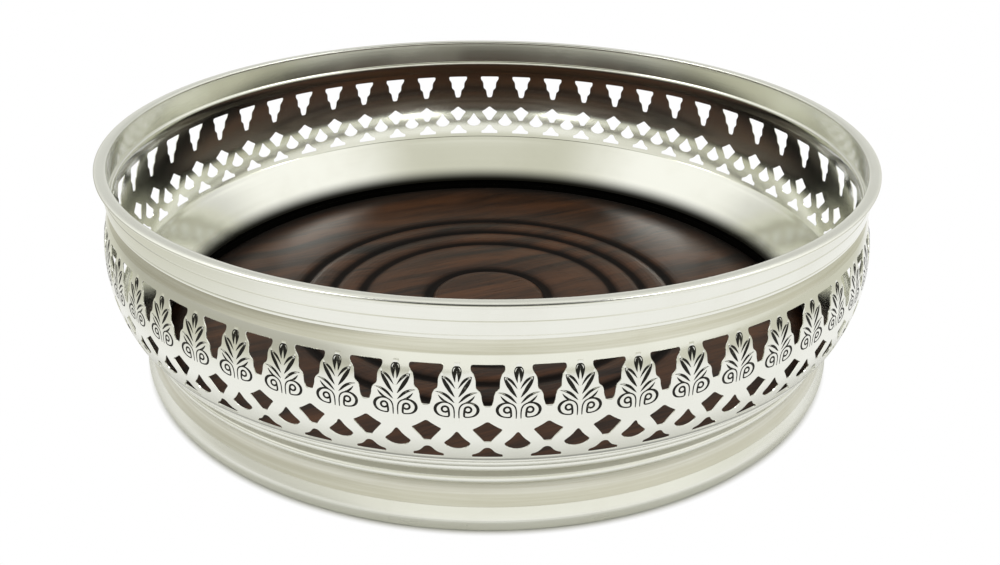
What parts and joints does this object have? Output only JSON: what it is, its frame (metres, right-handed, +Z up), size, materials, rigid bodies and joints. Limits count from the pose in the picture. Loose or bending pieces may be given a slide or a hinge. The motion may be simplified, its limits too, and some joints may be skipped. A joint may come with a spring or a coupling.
{
  "type": "wine bottle coaster",
  "caption": "Round wine bottle coaster: a pierced palmette gallery under a wired rim, on a moulded ring foot, with a turned wooden floor and a baize pad.",
  "frame": {"origin": "centre of the pad's underside, on the surface that the coaster stands on", "axes": "+Z up along the axis of the coaster, -Y towards the front"},
  "size_m": [0.134, 0.134, 0.038],
  "materials": {
    "silver_plate": "polished silver plate",
    "turned_wood": "dark turned hardwood, waxed",
    "brass_fixings": "plain",
    "baize": "napped wool"
  },
  "bodies": {
    "root": {"rim_wire": "silver_plate", "rim_border": "silver_plate", "gallery": "silver_plate", "waist_reeds": "silver_plate", "foot_skirt": "silver_plate", "foot_wire": "silver_plate", "base_ring": "silver_plate", "turned_base": "turned_wood", "base_screws": "brass_fixings", "baize_pad": "baize"}
  },
  "joints": []
}
